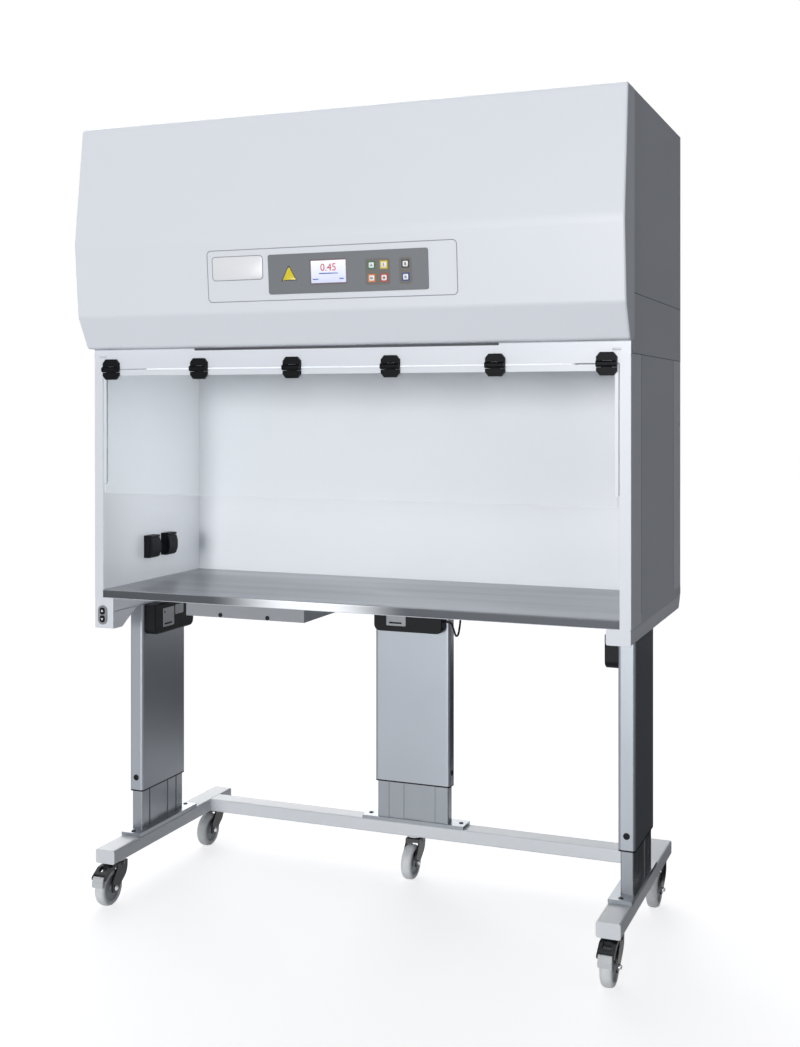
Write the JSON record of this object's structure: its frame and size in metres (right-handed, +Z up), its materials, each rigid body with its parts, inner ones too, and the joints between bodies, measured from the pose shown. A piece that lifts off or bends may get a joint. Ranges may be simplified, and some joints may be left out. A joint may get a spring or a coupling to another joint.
{
  "type": "laminar flow cabinet on a height-adjustable stand",
  "caption": "Clean-air work cabinet with a hinged clear front visor, steel worktop and control panel, on a stand with lifting columns and lockable casters.",
  "frame": {"origin": "on the floor, under the middle of the object's box", "axes": "+X to the user's right, +Y from the front to the back, +Z up"},
  "size_m": [1.508, 0.7494, 2.131],
  "materials": {
    "white_paint": "smooth semi-gloss powder coat",
    "panel_paint": "semi-gloss powder coat",
    "liner_paint": "gloss white powder coat",
    "stand_paint": "silver-grey powder coat",
    "column_aluminium": "satin anodised",
    "stainless": "brushed along its length",
    "galvanised": "zinc coated sheet",
    "spindle_steel": "turned",
    "fan_aluminium": "pressed",
    "black_plastic": "fine moulded texture",
    "grey_plastic": "moulded",
    "caster_plastic": "glass-filled, moulded",
    "wheel_plastic": "soft grey tread on a moulded core",
    "pedal_metal": "grey moulded",
    "clear_acrylic": "polished clear sheet",
    "panel_foil": "satin foil",
    "screen_glass": "glossy",
    "key_plastic": "satin",
    "filter_paper": "pleated paper in its frame",
    "filter_felt": "non-woven",
    "lamp_plastic": "opal",
    "lead_rubber": "black sheath"
  },
  "bodies": {
    "stand": {"left_foot": "stand_paint", "right_foot": "stand_paint", "rear_rail": "stand_paint", "inner_columns": "column_aluminium"},
    "cabinet": {"outer_columns": "column_aluminium", "column_glides": "black_plastic", "motor_housings": "black_plastic", "support_tubes": "white_paint", "floor_pan": "panel_paint", "worktop": "stainless", "control_box": "panel_paint", "switch_bracket": "white_paint", "switch_plate": "grey_plastic", "chamber_liner": "liner_paint", "corner_posts": "white_paint", "side_panels": "panel_paint", "back_panels": "panel_paint", "header": "white_paint", "hinge_upper_leaves": "black_plastic", "hood_front_cover": "white_paint", "control_panel": "panel_foil", "display_screen": "screen_glass", "top_cover": "panel_paint", "prefilter": "filter_felt", "fan_deck": "galvanised", "fan_motor": "galvanised", "diffuser": "liner_paint", "main_filter": "filter_paper", "chamber_lamp": "lamp_plastic", "power_sockets": "black_plastic", "motor_lead": "lead_rubber"},
    "left_spindle": {"left_lifting_spindle": "spindle_steel"},
    "middle_spindle": {"middle_lifting_spindle": "spindle_steel"},
    "right_spindle": {"right_lifting_spindle": "spindle_steel"},
    "visor": {"visor_frame": "white_paint", "visor_panel": "clear_acrylic", "hinge_lower_leaves": "black_plastic"},
    "key_one": {"key_one": "key_plastic"},
    "key_two": {"key_two": "key_plastic"},
    "key_three": {"key_three": "key_plastic"},
    "key_four": {"key_four": "key_plastic"},
    "key_five": {"key_five": "key_plastic"},
    "key_six": {"key_six": "key_plastic"},
    "up_button": {"up_button": "black_plastic"},
    "down_button": {"down_button": "black_plastic"},
    "front_lid": {"front_socket_lid": "black_plastic"},
    "rear_lid": {"rear_socket_lid": "black_plastic"},
    "fan_rotor": {"fan_wheel": "fan_aluminium"},
    "front_left_caster": {"front_left_caster_fork": "caster_plastic"},
    "front_left_wheel": {"front_left_caster_wheel": "wheel_plastic"},
    "front_left_pedal": {"front_left_brake_pedal": "pedal_metal"},
    "front_right_caster": {"front_right_caster_fork": "caster_plastic"},
    "front_right_wheel": {"front_right_caster_wheel": "wheel_plastic"},
    "front_right_pedal": {"front_right_brake_pedal": "pedal_metal"},
    "rear_left_caster": {"rear_left_caster_fork": "caster_plastic"},
    "rear_left_wheel": {"rear_left_caster_wheel": "wheel_plastic"},
    "rear_right_caster": {"rear_right_caster_fork": "caster_plastic"},
    "rear_right_wheel": {"rear_right_caster_wheel": "wheel_plastic"},
    "middle_caster": {"middle_caster_fork": "caster_plastic"},
    "middle_wheel": {"middle_caster_wheel": "wheel_plastic"}
  },
  "joints": [
    {"name": "lift", "type": "slide", "parent": "stand", "child": "cabinet", "axis": [0, 0, 1], "range_m": [-0.1, 0.3]},
    {"name": "left_spindle_turn", "type": "hinge", "parent": "cabinet", "child": "left_spindle", "pos_m": [-0.708, -0.025, 0.33], "axis": [0, 0, 1], "range_deg": [-3100, 9200]},
    {"name": "middle_spindle_turn", "type": "hinge", "parent": "cabinet", "child": "middle_spindle", "pos_m": [0, 0.239, 0.33], "axis": [0, 0, 1], "range_deg": [-3100, 9200]},
    {"name": "right_spindle_turn", "type": "hinge", "parent": "cabinet", "child": "right_spindle", "pos_m": [0.708, -0.025, 0.33], "axis": [0, 0, 1], "range_deg": [-3100, 9200]},
    {"name": "visor_swing", "type": "hinge", "parent": "cabinet", "child": "visor", "pos_m": [0, -0.294, 1.475], "axis": [-1, 0, 0], "range_deg": [0, 140]},
    {"name": "key_one_press", "type": "slide", "parent": "cabinet", "child": "key_one", "axis": [0, 0.9963, 0.0864], "range_m": [0, 0.0008], "stiffness_N_per_m": 600, "springref_m": -0.0006},
    {"name": "key_two_press", "type": "slide", "parent": "cabinet", "child": "key_two", "axis": [0, 0.9963, 0.0864], "range_m": [0, 0.0008], "stiffness_N_per_m": 600, "springref_m": -0.0006},
    {"name": "key_three_press", "type": "slide", "parent": "cabinet", "child": "key_three", "axis": [0, 0.9963, 0.0864], "range_m": [0, 0.0008], "stiffness_N_per_m": 600, "springref_m": -0.0006},
    {"name": "key_four_press", "type": "slide", "parent": "cabinet", "child": "key_four", "axis": [0, 0.9963, 0.0864], "range_m": [0, 0.0008], "stiffness_N_per_m": 600, "springref_m": -0.0006},
    {"name": "key_five_press", "type": "slide", "parent": "cabinet", "child": "key_five", "axis": [0, 0.9963, 0.0864], "range_m": [0, 0.0008], "stiffness_N_per_m": 600, "springref_m": -0.0006},
    {"name": "key_six_press", "type": "slide", "parent": "cabinet", "child": "key_six", "axis": [0, 0.9963, 0.0864], "range_m": [0, 0.0008], "stiffness_N_per_m": 600, "springref_m": -0.0006},
    {"name": "up_button_press", "type": "slide", "parent": "cabinet", "child": "up_button", "axis": [0, 1, 0], "range_m": [0, 0.002], "stiffness_N_per_m": 600, "springref_m": -0.001},
    {"name": "down_button_press", "type": "slide", "parent": "cabinet", "child": "down_button", "axis": [0, 1, 0], "range_m": [0, 0.002], "stiffness_N_per_m": 600, "springref_m": -0.001},
    {"name": "front_lid_flip", "type": "hinge", "parent": "cabinet", "child": "front_lid", "pos_m": [-0.7002, -0.054, 0.994], "axis": [0, -1, 0], "range_deg": [0, 100], "stiffness_Nm_per_rad": 0.03, "springref_deg": -20.05},
    {"name": "rear_lid_flip", "type": "hinge", "parent": "cabinet", "child": "rear_lid", "pos_m": [-0.7002, 0.038, 0.994], "axis": [0, -1, 0], "range_deg": [0, 100], "stiffness_Nm_per_rad": 0.03, "springref_deg": -20.05},
    {"name": "fan_spin", "type": "hinge", "parent": "cabinet", "child": "fan_rotor", "pos_m": [0, 0.065, 1.8], "axis": [0, 0, 1], "continuous": true},
    {"name": "front_left_swivel", "type": "hinge", "parent": "stand", "child": "front_left_caster", "pos_m": [-0.7, -0.253, 0.1135], "axis": [0, 0, 1], "continuous": true},
    {"name": "front_left_roll", "type": "hinge", "parent": "front_left_caster", "child": "front_left_wheel", "pos_m": [-0.7, -0.291, 0.049], "axis": [1, 0, 0], "continuous": true},
    {"name": "front_left_brake", "type": "hinge", "parent": "front_left_caster", "child": "front_left_pedal", "pos_m": [-0.7, -0.336, 0.0865], "axis": [-1, 0, 0], "range_deg": [0, 15]},
    {"name": "front_right_swivel", "type": "hinge", "parent": "stand", "child": "front_right_caster", "pos_m": [0.7, -0.253, 0.1135], "axis": [0, 0, 1], "continuous": true},
    {"name": "front_right_roll", "type": "hinge", "parent": "front_right_caster", "child": "front_right_wheel", "pos_m": [0.7, -0.291, 0.049], "axis": [1, 0, 0], "continuous": true},
    {"name": "front_right_brake", "type": "hinge", "parent": "front_right_caster", "child": "front_right_pedal", "pos_m": [0.7, -0.336, 0.0865], "axis": [-1, 0, 0], "range_deg": [0, 15]},
    {"name": "rear_left_swivel", "type": "hinge", "parent": "stand", "child": "rear_left_caster", "pos_m": [-0.7, 0.292, 0.1135], "axis": [0, 0, 1], "continuous": true},
    {"name": "rear_left_roll", "type": "hinge", "parent": "rear_left_caster", "child": "rear_left_wheel", "pos_m": [-0.7, 0.254, 0.049], "axis": [1, 0, 0], "continuous": true},
    {"name": "rear_right_swivel", "type": "hinge", "parent": "stand", "child": "rear_right_caster", "pos_m": [0.7, 0.292, 0.1135], "axis": [0, 0, 1], "continuous": true},
    {"name": "rear_right_roll", "type": "hinge", "parent": "rear_right_caster", "child": "rear_right_wheel", "pos_m": [0.7, 0.254, 0.049], "axis": [1, 0, 0], "continuous": true},
    {"name": "middle_swivel", "type": "hinge", "parent": "stand", "child": "middle_caster", "pos_m": [0, 0.247, 0.1135], "axis": [0, 0, 1], "continuous": true},
    {"name": "middle_roll", "type": "hinge", "parent": "middle_caster", "child": "middle_wheel", "pos_m": [0, 0.209, 0.049], "axis": [1, 0, 0], "continuous": true}
  ],
  "couplings": [
    {"joint": "left_spindle_turn", "follows": "lift", "rad_per_m": 523.6},
    {"joint": "middle_spindle_turn", "follows": "lift", "rad_per_m": 523.6},
    {"joint": "right_spindle_turn", "follows": "lift", "rad_per_m": 523.6}
  ]
}
